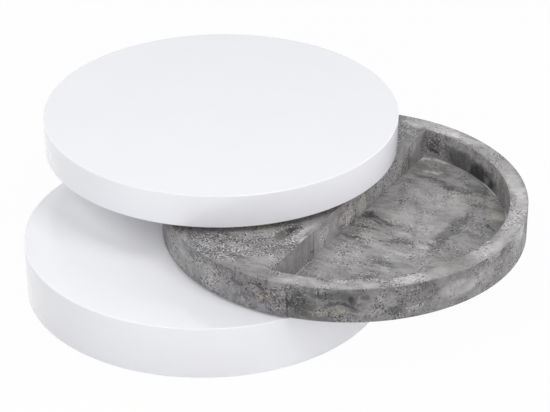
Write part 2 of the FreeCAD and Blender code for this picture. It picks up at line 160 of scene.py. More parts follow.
def round_cap(mesh, line, slot):
    """A level disc inside a circular line, in rings down to its middle."""
    centre = sum((vert.co for vert in line), Vector()) / len(line)
    outer = line
    for share in CAP_RINGS:
        inner = lay(mesh, [centre + (vert.co - centre) * share for vert in line])
        band(mesh, outer, inner, slot)
        outer = inner
    hub = mesh.verts.new(centre)
    for here in range(len(outer)):
        mesh.faces.new((outer[here], outer[(here + 1) % len(outer)], hub)).material_index = slot


def new_object(name, mesh, finishes):
    data = bpy.data.meshes.new(name)
    mesh.to_mesh(data)
    mesh.free()
    for finish in finishes:
        data.materials.append(finish)
    made = bpy.data.objects.new(name, data)
    bpy.context.scene.collection.objects.link(made)
    return made


def finished_piece(name, mesh, finishes, body, nodes):
    """Turns a mesh into a named piece that rides on its body and stands for its CAD nodes."""
    bmesh.ops.recalc_face_normals(mesh, faces=mesh.faces)
    for face in mesh.faces:
        face.smooth = True
    piece = new_object(name, mesh, finishes)
    piece.data.set_sharp_from_angle(angle=SHARP)
    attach(piece, body)
    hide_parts(*nodes)


# ---- nodes --------------------------------------------------------------------------------------
def put(tree, kind, sockets, **settings):
    """Adds a node. Each socket is linked, or set to a value."""
    node = tree.nodes.new("ShaderNode" + kind)
    for name, value in settings.items():
        setattr(node, name, value)
    for name, value in sockets.items():
        if isinstance(value, bpy.types.NodeSocket):
            tree.links.new(value, node.inputs[name])
        else:
            node.inputs[name].default_value = value
    return node


def use_group(tree, group, sockets):
    return put(tree, "Group", sockets, node_tree=group).outputs


def sums(tree, operation, *values):
    return put(tree, "Math", dict(enumerate(values)), operation=operation).outputs[0]


def swing(tree, value, amount, total):
    """Adds to a total as much as value lies above a half, and takes off as much as it lies below."""
    return sums(tree, "MULTIPLY_ADD", sums(tree, "SUBTRACT", value, 0.5), amount, total)


def shifted(tree, where, move=(0, 0, 0), turn=(0, 0, 0), scale=(1, 1, 1)):
    sockets = {"Vector": where, "Location": move, "Rotation": turn, "Scale": scale}
    return put(tree, "Mapping", sockets).outputs[0]


def cloud(tree, where, scale, detail=3.0, roughness=0.5, distortion=0.0, move=None):
    """Soft noise about a half. A move takes it from another part of the endless pattern."""
    where = shifted(tree, where, move) if move else where
    return put(tree, "TexNoise", {"Vector": where, "Scale": scale, "Detail": detail,
                                  "Roughness": roughness, "Distortion": distortion}).outputs[0]


def ease(tree, value, low, high, start=0.0, end=1.0):
    """From start to end while value goes from low to high, and level beyond."""
    return put(tree, "MapRange", {"Value": value, "From Min": low, "From Max": high, "To Min": start,
                                  "To Max": end}, interpolation_type="SMOOTHSTEP").outputs[0]


def mixed(tree, share, one, other, way="MIX"):
    """A mix of two colours. The node has them in its inputs 6 and 7, and gives the mix in its output 2."""
    node = put(tree, "Mix", {0: share, 6: one, 7: other}, data_type="RGBA", blend_type=way)
    return node.outputs[2]


def new_group(name, inputs, outputs):
    """A node group with its sockets. inputs gives each socket's kind and starting value."""
    tree = bpy.data.node_groups.new(name, "ShaderNodeTree")
    for label, (kind, start) in inputs.items():
        socket = tree.interface.new_socket(label, in_out="INPUT", socket_type="NodeSocket" + kind)
        if start is not None:
            socket.default_value = start
    for label, kind in outputs.items():
        tree.interface.new_socket(label, in_out="OUTPUT", socket_type="NodeSocket" + kind)
    return tree, tree.nodes.new("NodeGroupInput").outputs, tree.nodes.new("NodeGroupOutput").inputs


def new_finish(name):
    """A material, its node tree, its shader and the place on the piece."""
    finish = bpy.data.materials.new(name)
    finish.use_nodes = True
    tree = finish.node_tree
    shader = tree.nodes["Principled BSDF"]
    return finish, tree, shader, tree.nodes.new("ShaderNodeTexCoord").outputs["Object"]


def relief(tree, shader, height, strength, distance):
    bump = put(tree, "Bump", {"Height": height, "Strength": strength, "Distance": distance})
    tree.links.new(bump.outputs[0], shader.inputs["Normal"])


# ---- shared effects -----------------------------------------------------------------------------
# The foil's greys, from its darkest pits to its palest chalk.
FOIL_GREYS = ((0.0, (0.03, 0.0295, 0.031, 1)), (0.3, (0.145, 0.141, 0.143, 1)),
              (0.5, (0.27, 0.2635, 0.2665, 1)), (0.7, (0.41, 0.401, 0.4045, 1)),
              (1.0, (0.64, 0.626, 0.633, 1)))
GREENISH_TINT = (0.985, 1.0, 0.92, 1)
BROWNISH_TINT = (1.0, 0.955, 0.895, 1)


def foil_pores(tree, place, porous):
    """How porous the foil is at each place. The pores gather in clusters."""
    pores = cloud(tree, place, 15.0, 7.0, 0.66, 0.8, move=(3.1, 1.7, 4.4))
    pores = ease(tree, sums(tree, "MULTIPLY_ADD", porous, 0.12, pores), 0.44, 0.60)
    clusters = cloud(tree, place, 46.0, 4.0, 0.6, move=(5.2, 3.6, 1.1))
    return sums(tree, "MULTIPLY", pores, ease(tree, clusters, 0.42, 0.58, 0.35, 1.0))


def foil_pits(tree, place, pores):
    """Small pits, many where the foil is porous and a few elsewhere."""
    pits = ease(tree, cloud(tree, place, 230.0, 2.0, 0.6, move=(0.4, 0.8, 0.2)), 0.57, 0.65)
    return sums(tree, "MULTIPLY", pits, sums(tree, "MULTIPLY_ADD", pores, 0.92, 0.06))


def foil_plates(tree, place):
    return ease(tree, cloud(tree, place, 13.0, 8.0, 0.62, 1.1, move=(4.7, 1.9, 3.3)), 0.42, 0.58)


def smeared_tone(tree, place, along, smears, tone):
    """Adds the trowel's smears, strong in some places and weak in others, and the chalk they left."""
    streaks = cloud(tree, along, 62.0, 6.0, 0.68, 0.9, move=(2.3, 5.1, 0.7))
    patches = cloud(tree, place, 9.0, 4.0, 0.6, 0.8, move=(1.2, 6.4, 2.8))
    strength = sums(tree, "MULTIPLY", smears, ease(tree, patches, 0.42, 0.58, 0.25, 1.0))
    tone = swing(tree, streaks, sums(tree, "MULTIPLY", strength, 0.75), tone)
    chalk = ease(tree, cloud(tree, along, 38.0, 7.0, 0.68, 1.2, move=(7.3, 2.2, 1.4)), 0.59, 0.70)
    return sums(tree, "MULTIPLY_ADD", chalk, sums(tree, "MULTIPLY", smears, 0.13), tone)


def foil_colour(tree, place, tone, greenish):
    """The grey of each tone, faintly green in some places and faintly brown in others."""
    ramp = put(tree, "ValToRGB", {"Fac": tone})
    stops = ramp.color_ramp.elements
    darkest, *between, palest = FOIL_GREYS
    stops[0].position, stops[0].color = darkest
    stops[1].position, stops[1].color = palest
    for at, grey in between:
        stops.new(at).color = grey
    hue = cloud(tree, place, 6.0, 3.0, 0.5, 0.6, move=(0.6, 4.1, 2.2))
    hue = sums(tree, "MULTIPLY_ADD", greenish, 0.14, hue)
    green = mixed(tree, ease(tree, hue, 0.54, 0.70), ramp.outputs[0], GREENISH_TINT, "MULTIPLY")
    return mixed(tree, ease(tree, hue, 0.42, 0.30), green, BROWNISH_TINT, "MULTIPLY")


def make_concrete_print():
    """The printed foil: ragged plates, trowel smears, chalky traces, and pits where it is porous."""
    tree, given, out = new_group(
        "concrete_print",
        {"Place": ("Vector", None), "Smear Place": ("Vector", None), "Lighter": ("Float", 0.0),
         "Porous": ("Float", 0.0), "Grain": ("Float", 1.0), "Smears": ("Float", 1.0),
         "Greenish": ("Float", 0.0)},
        {"Color": "Color", "Roughness": "Float", "Height": "Float"})
    place = given["Place"]
    pores = foil_pores(tree, place, given["Porous"])
    pits = foil_pits(tree, place, pores)
    grit = cloud(tree, place, 210.0, 3.0, 0.8)
    graininess = sums(tree, "MULTIPLY_ADD", sums(tree, "MULTIPLY", pores, given["Grain"]), 2.0, 0.22)

    tone = swing(tree, cloud(tree, place, 5.0, 3.0, 0.5, 0.4), 0.34, 0.5)
    tone = swing(tree, foil_plates(tree, place), 0.12, tone)
    tone = smeared_tone(tree, place, given["Smear Place"], given["Smears"], tone)
    tone = sums(tree, "ADD", tone, given["Lighter"])
    tone = swing(tree, grit, graininess, tone)
    tone = sums(tree, "MULTIPLY_ADD", pits, -0.85, tone)

    tree.links.new(foil_colour(tree, place, tone, given["Greenish"]), out["Color"])
    tree.links.new(ease(tree, tone, 0.2, 0.8, 0.62, 0.48), out["Roughness"])
    height = sums(tree, "MULTIPLY_ADD", pits, -1.0, sums(tree, "MULTIPLY", grit, 0.5))
    tree.links.new(height, out["Height"])
    return tree


def make_fine_ripple():
    """The faint waviness of a sprayed or moulded surface, and where it was rubbed."""
    tree, given, out = new_group("fine_ripple", {"Place": ("Vector", None), "Ripples": ("Float", 300.0)},
                                 {"Height": "Float", "Rubbed": "Float"})
    tree.links.new(cloud(tree, given["Place"], given["Ripples"], 2.0, 0.5), out["Height"])
    tree.links.new(cloud(tree, given["Place"], 7.0, 4.0, 0.6, 0.5), out["Rubbed"])
    return tree


def make_turned_lines():
    """Tool marks round the place's upright axis, and patches where metal was handled."""
    tree, given, out = new_group("turned_lines", {"Place": ("Vector", None), "Lines": ("Float", 900.0)},
                                 {"Height": "Float", "Handled": "Float"})
    across, along, up = put(tree, "SeparateXYZ", {0: given["Place"]}).outputs
    level = put(tree, "CombineXYZ", {0: across, 1: along}).outputs[0]
    out_from_axis = put(tree, "VectorMath", {0: level}, operation="LENGTH").outputs["Value"]
    track = put(tree, "CombineXYZ", {0: out_from_axis, 1: up}).outputs[0]
    tree.links.new(cloud(tree, track, given["Lines"], 2.0, 0.6), out["Height"])
    tree.links.new(cloud(tree, given["Place"], 40.0, 4.0, 0.6), out["Handled"])
    return tree


CONCRETE_PRINT = make_concrete_print()
FINE_RIPPLE = make_fine_ripple()
TURNED_LINES = make_turned_lines()


# ---- finishes -----------------------------------------------------------------------------------
# A polish is the roughness of the least and of the most rubbed or handled places.
def coated(name, colour, shade, polish, ripples, depth, ior=1.5):
    """Lacquer, foil or moulded plastic: a base colour that drifts a little, and a fine ripple."""
    finish, tree, shader, place = new_finish(name)
    shader.inputs["IOR"].default_value = ior
    ripple = use_group(tree, FINE_RIPPLE, {"Place": place, "Ripples": ripples})
    rubbed = ease(tree, ripple["Rubbed"], 0.3, 0.7)
    tree.links.new(mixed(tree, rubbed, colour + (1,), shade + (1,)), shader.inputs["Base Color"])
    tree.links.new(ease(tree, ripple["Rubbed"], 0.3, 0.7, *polish), shader.inputs["Roughness"])
    relief(tree, shader, ripple["Height"], 1.0, depth)
    return finish


def spot(tree, where, at, size, turn):
    """1 in the middle of a lens-shaped spot, 0 outside it."""
    sockets = {"Vector": where, "Location": at, "Rotation": (0, 0, math.radians(turn)), "Scale": size}
    here = put(tree, "Mapping", sockets, vector_type="TEXTURE").outputs[0]
    return put(tree, "TexGradient", {0: here}, gradient_type="SPHERICAL").outputs[1]


def add_share(tree, share, amount, total):
    """Adds a share of an amount. An amount of 0 adds no node."""
    return sums(tree, "MULTIPLY_ADD", share, amount, total) if amount else total


def spread_marks(tree, place, marks, seams):
    """Adds up ragged marks and straighter seams: how much lighter, more porous and greener each spot is."""
    noise = {"Vector": place, "Scale": 30.0, "Detail": 6.0, "Roughness": 0.62}
    ragged = put(tree, "TexNoise", noise).outputs[1]
    lighter, porous, greenish = 0.0, 0.0, 0.0
    # how far the noise pushes an outline, and how far in from it a spot is full
    for push, full, spots in ((0.05, 0.55, marks), (0.005, 0.7, seams)):
        pushed = put(tree, "VectorMath", {0: ragged, 1: (push,) * 3, 2: place}, operation="MULTIPLY_ADD")
        for at, size, turn, (light, pores, green) in spots:
            centred = at + Vector((push / 2,) * 3)
            inside = ease(tree, spot(tree, pushed.outputs[0], centred, size, turn), 0.0, full)
            lighter = add_share(tree, inside, light, lighter)
            porous = add_share(tree, inside, pores, porous)
            greenish = add_share(tree, inside, green, greenish)
    return lighter, porous, greenish


def concrete(name, smear_turn, smear_stretch, lighter, porous, smears, marks, seams=(), grain=1.0):
    """Concrete foil on one kind of face. The smears run along their own direction."""
    finish, tree, shader, place = new_finish(name)
    turned = shifted(tree, place, turn=(0, 0, math.radians(-smear_turn)))
    along = shifted(tree, turned, scale=smear_stretch)
    marked, pitted, greenish = spread_marks(tree, place, marks, seams)
    foil = use_group(tree, CONCRETE_PRINT, {
        "Place": place, "Smear Place": along, "Smears": smears, "Grain": grain, "Greenish": greenish,
        "Lighter": sums(tree, "ADD", marked, lighter), "Porous": sums(tree, "ADD", pitted, porous)})
    tree.links.new(foil["Color"], shader.inputs["Base Color"])
    tree.links.new(foil["Roughness"], shader.inputs["Roughness"])
    relief(tree, shader, foil["Height"], 0.3, 0.0004)
    return finish


def bare_board():
    """Particle board: pale and dark chips pressed together."""
    finish, tree, shader, place = new_finish("bare_particle_board")
    chips = put(tree, "TexVoronoi", {"Vector": place, "Scale": 260.0}).outputs
    chip_tone = put(tree, "SeparateColor", {0: chips["Color"]}).outputs[0]
    dust = ease(tree, cloud(tree, place, 30.0, 4.0, 0.6), 0.5, 0.8)
    wood = mixed(tree, chip_tone, (0.50, 0.37, 0.23, 1), (0.66, 0.52, 0.35, 1))
    tree.links.new(mixed(tree, dust, wood, (0.36, 0.25, 0.15, 1)), shader.inputs["Base Color"])
    tree.links.new(ease(tree, chip_tone, 0.0, 1.0, 0.75, 0.95), shader.inputs["Roughness"])
    relief(tree, shader, chips["Distance"], 0.4, 0.0006)
    return finish


def metal(name, colour, shade, polish, lines, depth):
    """Turned, plated or polished metal."""
    finish, tree, shader, place = new_finish(name)
    shader.inputs["Metallic"].default_value = 1.0
    from_pivot = shifted(tree, place, move=(-PIVOT.x, -PIVOT.y, 0))
    marks = use_group(tree, TURNED_LINES, {"Place": from_pivot, "Lines": lines})
    handled = ease(tree, marks["Handled"], 0.35, 0.65)
    tree.links.new(mixed(tree, handled, colour + (1,), shade + (1,)), shader.inputs["Base Color"])
    tree.links.new(ease(tree, marks["Handled"], 0.35, 0.65, *polish), shader.inputs["Roughness"])
    relief(tree, shader, marks["Height"], 0.5, depth)
    return finish


LACQUER = coated("gloss_white_lacquer", colour=(0.860, 0.863, 0.899), shade=(0.870, 0.873, 0.904),
                 polish=(0.03, 0.06), ripples=350.0, depth=2e-6, ior=1.6)
BACKING = coated("satin_white_backing", colour=(0.82, 0.82, 0.815), shade=(0.84, 0.84, 0.835),
                 polish=(0.38, 0.50), ripples=900.0, depth=1e-5)
NYLON = coated("natural_nylon", colour=(0.74, 0.73, 0.67), shade=(0.78, 0.77, 0.72),
               polish=(0.40, 0.52), ripples=700.0, depth=2e-5)
CAP_PLASTIC = coated("moulded_white_plastic", colour=(0.76, 0.76, 0.76), shade=(0.80, 0.80, 0.79),
                     polish=(0.34, 0.46), ripples=800.0, depth=2e-5)
GLIDE_PLASTIC = coated("moulded_black_plastic", colour=(0.018, 0.018, 0.019), shade=(0.03, 0.03, 0.031),
                       polish=(0.42, 0.6), ripples=800.0, depth=2e-5)
ZINC = metal("zinc_plated_steel", colour=(0.55, 0.56, 0.58), shade=(0.66, 0.66, 0.64),
             polish=(0.28, 0.42), lines=1500.0, depth=1e-5)
RACE_STEEL = metal("oiled_race_steel", colour=(0.42, 0.43, 0.45), shade=(0.52, 0.52, 0.53),
                   polish=(0.18, 0.32), lines=1100.0, depth=1e-5)
AXLE_STEEL = metal("turned_axle_steel", colour=(0.50, 0.51, 0.53), shade=(0.60, 0.60, 0.61),
                   polish=(0.22, 0.36), lines=1800.0, depth=2e-5)
BALL_STEEL = metal("polished_ball_steel", colour=(0.70, 0.71, 0.73), shade=(0.76, 0.76, 0.77),
                   polish=(0.05, 0.12), lines=600.0, depth=1e-6)
BRASS = metal("turned_brass", colour=(0.66, 0.46, 0.16), shade=(0.74, 0.55, 0.24),
              polish=(0.24, 0.38), lines=1800.0, depth=2e-5)
BOARD = bare_board()


# ---- marks on the concrete foil -----------------------------------------------------------------
# Places are in metres from the middle of the tray's underside, and bearings in degrees round it from +X
# towards +Y. A mark reaches MARK_REACH to either side of its face. Its last three values are how much
# lighter, more porous and greener it makes the foil.
MARK_REACH = 0.055
TRAY_WALL = 0.040
TRAY_MIDDLE = middle("tray_floor_panel")
TRAY_FOOT = Vector((TRAY_MIDDLE.x, TRAY_MIDDLE.y, foot_of("tray_floor_panel")))
TRAY_RADIUS = radius_of("tray_floor_panel")
RECESS_RADIUS = TRAY_RADIUS - TRAY_WALL
TRAY_FLOOR = top_of("tray_floor_panel") - TRAY_FOOT.z
TRAY_HEIGHT = top_of("tray_deck") - TRAY_FOOT.z
DIVIDER_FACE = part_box("tray_deck")[1].x - TRAY_FOOT.x


def at_bearing(bearing, radius, rise):
    return on_circle(TRAY_FOOT, radius, math.radians(bearing), TRAY_FOOT.z + rise)


def on_level(rise, marks):
    """Marks on a level face: how far across and along, length, width, turn, and the three tones."""
    return [(TRAY_FOOT + Vector((across, along, rise)), (length / 2, width / 2, MARK_REACH), turn, tones)
            for across, along, length, width, turn, *tones in marks]


def on_ring(radius, rise, marks):
    """Marks that follow a level ring: bearing, length, width, and the three tones."""
    return [(at_bearing(bearing, radius, rise), (length / 2, width / 2, MARK_REACH), bearing + 90, tones)
            for bearing, length, width, *tones in marks]


def on_round_wall(radius, marks):
    """Marks on an upright round wall: bearing, how far up, length, height, and the three tones."""
    return [(at_bearing(bearing, radius, rise), (length / 2, MARK_REACH, height / 2), bearing + 90, tones)
            for bearing, rise, length, height, *tones in marks]


def on_divider(marks):
    """Marks on the recess's straight wall: how far along and up, length, height, and the three tones."""
    return [(TRAY_FOOT + Vector((DIVIDER_FACE, along, up)), (length / 2, MARK_REACH, height / 2), 90, tones)
            for along, up, length, height, *tones in marks]


DECK_MARKS = on_level(TRAY_HEIGHT, (
    # the porous front of the deck
    (-0.150, -0.308, 0.200, 0.050, 12, -0.11, 0.8, 1.0),
    (-0.075, -0.315, 0.250, 0.105, 35, -0.08, 1.2, 0.0),
    (-0.040, -0.325, 0.215, 0.055, -10, 0.16, 0.2, 0.3),
    (-0.135, -0.325, 0.085, 0.020, -5, 0.12, 1.0, 0.3),
    # pale traces along its outer edge
    (-0.115, -0.355, 0.155, 0.035, -20, 0.10, 0.3, 0.0),
    (-0.085, -0.360, 0.080, 0.015, -15, 0.12, 0.4, 0.0),
    (-0.030, -0.375, 0.075, 0.020, 0, 0.08, 0.3, 0.0),
    (-0.030, -0.370, 0.075, 0.030, 15, 0.00, -1.0, 0.5),
    (-0.015, -0.360, 0.085, 0.020, -5, 0.14, -0.3, 0.0),
    # painted shade: dark patches where the deck meets the top disc's front edge
    (-0.025, -0.220, 0.085, 0.040, 85, -0.26, -0.6, 0.0),
    (-0.020, -0.190, 0.070, 0.025, 80, -0.20, 0.0, 0.0),
    # painted shade under the top disc's front edge, further left on the deck
    (-0.130, -0.283, 0.060, 0.025, 10, -0.16, 0.3, 0.5),
    # pale streaks beside the divider
    (0.005, -0.200, 0.130, 0.020, 90, 0.22, -0.2, 0.4),
    (0.020, -0.215, 0.060, 0.020, 75, 0.32, 0.4, 0.0),
    (0.020, -0.235, 0.050, 0.020, 90, 0.16, -0.4, 0.4),
    (0.025, -0.290, 0.110, 0.020, 85, 0.12, 0.6, 0.0),
    (0.075, -0.335, 0.090, 0.030, -15, 0.20, 0.2, 0.0),
    # the far corner of the deck
    (-0.005, 0.325, 0.090, 0.020, -20, 0.12, 0.0, 0.0),
    (-0.020, 0.365, 0.080, 0.030, -15, 0.24, 0.0, 0.0),
)) + on_ring(TRAY_RADIUS - TRAY_WALL / 2, TRAY_HEIGHT, (
    (-75, 0.125, 0.035, 0.16, -0.9, 0.0),
    (-60, 0.050, 0.015, -0.04, 0.9, 0.0),
    (-60, 0.150, 0.050, 0.17, -0.3, 0.0),
    (-41, 0.125, 0.040, 0.16, 0.0, 0.0),
    (-35, 0.200, 0.050, 0.18, -0.5, 0.0),
    (-27, 0.140, 0.035, -0.06, 0.0, 1.8),
    (-20, 0.120, 0.030, -0.02, -0.4, 0.0),
    (-12, 0.150, 0.050, 0.12, -0.2, 0.0),
    (-9, 0.140, 0.035, 0.12, 0.0, 0.0),
    (10, 0.180, 0.060, 0.18, 0.0, 0.3),
    (22, 0.170, 0.060, 0.20, -0.3, 0.0),
    (33, 0.210, 0.035, 0.20, -0.4, 0.0),
    (40, 0.225, 0.060, 0.15, -0.9, 0.0),
    (62, 0.140, 0.050, 0.10, 0.0, 0.0),
    (66, 0.070, 0.015, -0.16, -0.4, 0.0),
    (71, 0.110, 0.030, 0.20, 0.0, 0.0),
    (79, 0.100, 0.025, 0.10, -0.3, 0.0),
    (84, 0.210, 0.060, 0.30, 0.0, 0.0),
))
FLOOR_MARKS = on_level(TRAY_FLOOR, (
    # wide pale fields
    (0.140, 0.190, 0.225, 0.125, -20, 0.13, -0.1, 0.0),
    (0.150, 0.075, 0.195, 0.110, -5, 0.10, 0.0, 0.0),
    # dark trowel strokes beside the divider
    (0.035, 0.040, 0.065, 0.025, -25, -0.22, 0.4, 0.8),
    (0.070, 0.040, 0.115, 0.012, -12, -0.26, 0.0, 0.0),
    (0.070, 0.025, 0.065, 0.012, -23, -0.22, 0.0, 0.5),
    (0.065, -0.007, 0.080, 0.012, 0, -0.22, 0.0, 0.0),
    (0.055, -0.058, 0.070, 0.020, 5, -0.26, 0.0, 0.4),
    (0.085, -0.080, 0.070, 0.020, 10, -0.12, 0.6, 0.0),
    # chalky traces and dark clouds at the far end
    (0.027, 0.337, 0.050, 0.018, 10, 0.34, -0.8, 0.0),
    (0.070, 0.345, 0.060, 0.020, 0, 0.36, -0.8, 0.0),
    (0.070, 0.288, 0.060, 0.018, 10, 0.34, -0.8, 0.0),
    (0.030, 0.305, 0.075, 0.035, -10, -0.12, -1.0, 0.0),
    (0.100, 0.307, 0.075, 0.030, -25, -0.12, -0.6, 0.0),
    (0.075, 0.258, 0.125, 0.020, -5, -0.24, 0.0, 0.0),
    (0.158, 0.248, 0.105, 0.035, 5, -0.20, 0.3, 0.0),
    (0.202, 0.270, 0.105, 0.040, -20, -0.22, 0.0, 0.0),
    # ochre and dark spots under the round wall
    (0.228, 0.205, 0.085, 0.035, -20, -0.10, 0.9, 0.0),
    (0.278, 0.186, 0.160, 0.065, -35, -0.02, -0.5, 2.0),
    (0.285, 0.182, 0.060, 0.025, -30, 0.12, -0.3, 0.4),
    (0.297, 0.123, 0.035, 0.018, -15, -0.22, 0.5, 1.0),
    (0.275, 0.078, 0.080, 0.030, -5, -0.12, 0.0, 0.3),
    # a long dark band across the middle, with pale and porous places in it
    (0.225, 0.067, 0.275, 0.040, 90, -0.18, 0.3, 0.0),
    (0.177, 0.028, 0.090, 0.030, -20, 0.12, -0.3, 0.0),
    (0.200, -0.020, 0.050, 0.020, -10, 0.24, -0.6, 0.0),
    (0.150, -0.027, 0.095, 0.025, 15, -0.18, 1.0, 0.0),
    (0.134, -0.052, 0.030, 0.010, 0, -0.20, 0.0, 0.0),
    (0.140, 0.007, 0.060, 0.020, 0, 0.14, -0.4, 0.0),
    (0.088, 0.044, 0.060, 0.015, 10, 0.12, 0.0, 0.0),
    # the near end
    (0.176, -0.071, 0.090, 0.022, 0, 0.16, -0.5, 0.0),
    (0.180, -0.119, 0.140, 0.035, 12, -0.16, 0.1, 0.0),
    (0.126, -0.119, 0.075, 0.025, 10, -0.04, 0.9, 0.0),
    (0.080, -0.144, 0.160, 0.065, -40, 0.03, 0.8, 0.0),
    (0.173, -0.186, 0.135, 0.025, 20, -0.14, 0.0, 0.0),
    (0.050, -0.231, 0.090, 0.025, 10, 0.10, 0.2, 0.0),
))
SIDE_MARKS = on_round_wall(TRAY_RADIUS, (
    (-124, 0.032, 0.200, 0.110, 0.17, 0.3, 0.8),
    (-107, 0.041, 0.115, 0.080, 0.14, 0.4, 0.0),
    (-98, 0.022, 0.070, 0.025, 0.03, -0.9, 0.5),
    (-96, 0.057, 0.045, 0.025, -0.18, -0.4, 0.0),
    (-91, 0.033, 0.050, 0.025, -0.14, 0.0, 0.0),
    (-87, 0.058, 0.095, 0.015, -0.18, 0.8, -0.6),
    (-85, 0.036, 0.080, 0.040, -0.07, 0.4, -1.3),
    (-79, 0.037, 0.030, 0.015, -0.22, 0.8, 0.0),
    (-75, 0.037, 0.070, 0.070, -0.25, 0.2, 0.0),
    (-66, 0.024, 0.145, 0.018, 0.12, 0.5, 1.2),
    (-65, 0.060, 0.105, 0.028, -0.12, 0.1, 0.0),
    (-63, 0.040, 0.100, 0.015, -0.24, 0.1, 0.0),
    (-60, 0.053, 0.022, 0.022, -0.22, 0.0, 0.0),
    (-56, 0.057, 0.026, 0.022, -0.20, 0.2, 0.0),
    (-55, 0.024, 0.085, 0.016, 0.09, -0.3, 0.0),
    (-49, 0.043, 0.055, 0.030, 0.08, 0.0, 0.0),
    (-47, 0.023, 0.060, 0.030, -0.20, 0.0, 0.0),
    (-41, 0.021, 0.060, 0.016, 0.12, 0.4, 0.0),
    (-39, 0.053, 0.130, 0.055, -0.06, 0.2, 0.0),
    (-25, 0.041, 0.150, 0.052, 0.20, 0.3, 0.0),
    (-17, 0.083, 0.070, 0.016, -0.16, -0.3, 0.0),
    (-15, 0.042, 0.080, 0.055, 0.10, 0.0, 0.0),
    (-6, 0.069, 0.036, 0.026, -0.14, 0.0, 0.0),
    (-5, 0.057, 0.100, 0.065, -0.05, 0.5, 0.0),
    (2, 0.079, 0.055, 0.075, -0.06, -0.6, 0.0),
    (8, 0.093, 0.130, 0.110, 0.18, -0.2, 0.0),
    (9, 0.095, 0.060, 0.075, 0.20, -0.6, 0.0),
))
SIDE_SEAMS = on_round_wall(TRAY_RADIUS, ((-79, 0.030, 0.007, 0.100, -0.20, 0.0, 0.0),))
RECESS_MARKS = on_round_wall(RECESS_RADIUS, (
    (87, 0.051, 0.055, 0.070, 0.07, 0.0, 0.0),
    (83, 0.031, 0.042, 0.015, -0.25, 0.6, 0.0),
    (82, 0.042, 0.078, 0.042, -0.08, 0.9, 0.0),
    (75, 0.015, 0.062, 0.026, -0.04, 0.7, 0.0),
    (69, 0.029, 0.115, 0.072, -0.34, -1.0, 0.0),
    (57, 0.028, 0.110, 0.072, -0.44, -0.6, 0.0),
    (54, 0.026, 0.026, 0.042, 0.22, 0.0, 0.0),
    (49, 0.021, 0.062, 0.064, -0.20, 0.0, 0.0),
    (37, 0.019, 0.092, 0.072, 0.04, 0.0, 0.0),
)) + on_divider((
    (-0.260, 0.055, 0.205, 0.075, -0.03, -1.6, 0.0),
    (-0.137, 0.047, 0.062, 0.055, 0.18, 0.9, 0.4),
    (-0.078, 0.038, 0.040, 0.048, 0.10, -1.3, 0.8),
    (-0.023, 0.037, 0.088, 0.072, 0.26, 1.0, 0.8),
    (0.045, 0.035, 0.060, 0.064, 0.20, -0.6, 0.8),
    (0.165, 0.038, 0.240, 0.082, 0.12, 1.0, 0.0),
    (0.314, 0.048, 0.082, 0.064, 0.13, -0.2, 0.0),
))
RECESS_SEAMS = on_divider(((-0.177, 0.043, 0.010, 0.120, -0.20, 0.0, 0.0),
                           (0.275, 0.043, 0.008, 0.120, -0.24, 0.0, 0.0)))
EDGE_MARKS = on_ring(RECESS_RADIUS, TRAY_FLOOR, (
    (52, 0.090, 0.040, 0.44, -1.0, 0.0),
    (29, 0.124, 0.048, 0.46, -1.0, 0.0),
)) + on_level(TRAY_FLOOR, ((0.020, -0.273, 0.180, 0.040, 90, 0.30, -1.0, 0.0),))

DECK_CONCRETE = concrete("concrete_foil_deck", smear_turn=30, smear_stretch=(0.6, 1.0, 1.0), lighter=-0.02,
                         porous=0.1, smears=0.7, marks=DECK_MARKS, grain=2.4)
FLOOR_CONCRETE = concrete("concrete_foil_floor", smear_turn=0, smear_stretch=(0.22, 1.0, 1.0), lighter=0.05,
                          porous=0.0, smears=1.0, marks=FLOOR_MARKS)
# lighter=-0.12 makes the side's print darker than the deck's: painted shade of the upright side
SIDE_CONCRETE = concrete("concrete_foil_side", smear_turn=0, smear_stretch=(0.8, 0.8, 1.4), lighter=-0.12,
                         porous=0.05, smears=0.7, marks=SIDE_MARKS, seams=SIDE_SEAMS)
RECESS_CONCRETE = concrete("concrete_foil_recess", smear_turn=0, smear_stretch=(1.0, 1.0, 0.3), lighter=0.0,
                           porous=0.1, smears=0.8, marks=RECESS_MARKS, seams=RECESS_SEAMS)
EDGE_CONCRETE = concrete("concrete_foil_edge", smear_turn=0, smear_stretch=(1.0, 1.0, 1.0), lighter=0.0,
                         porous=0.1, smears=0.6, marks=EDGE_MARKS)


# ---- the two white drums ------------------------------------------------------------------------
UPPER_ROUND, UPPER_STEPS = 0.002, 5
LOWER_ROUND, LOWER_STEPS = 0.0012, 3
DRUM_WALL = 0.018
AXLE_HOLE = 0.03005
POCKET_CLEARANCE = 0.0015
POCKET_BORDER = 0.002
LACQUERED, BARE = 0, 1


def drum_side(mesh, centre, radius, low, high):
    """The lacquered outside, from the ring that the drum stands on up to the rim of its top face."""
    lines = [lay(mesh, circle(centre, radius - DRUM_WALL, low))]
    for inset, drop in edge_steps(LOWER_ROUND, LOWER_STEPS):
        lines.append(lay(mesh, circle(centre, radius - inset, low + drop)))
    for inset, drop in reversed(edge_steps(UPPER_ROUND, UPPER_STEPS)):
        lines.append(lay(mesh, circle(centre, radius - inset, high - drop)))
    lines.append(lay(mesh, circle(centre, radius - 2 * UPPER_ROUND, high)))
    return lines[0], bands(mesh, lines, LACQUERED)


def build_top_shell():
    """A drum that is open below."""
    mesh = bmesh.new()
    centre, radius = middle("top_rim_segments"), radius_of("top_rim_segments")
    foot, rim = drum_side(mesh, centre, radius, foot_of("top_rim_segments"), top_of("top_panel"))
    round_cap(mesh, rim, LACQUERED)
    ceiling = lay(mesh, circle(centre, radius - DRUM_WALL, foot_of("top_panel")))
    band(mesh, foot, ceiling, BARE)
    round_cap(mesh, ceiling, BARE)
    finished_piece("top_shell", mesh, [LACQUER, BOARD], "top",
                   ["top_panel", "top_rim_segments"])


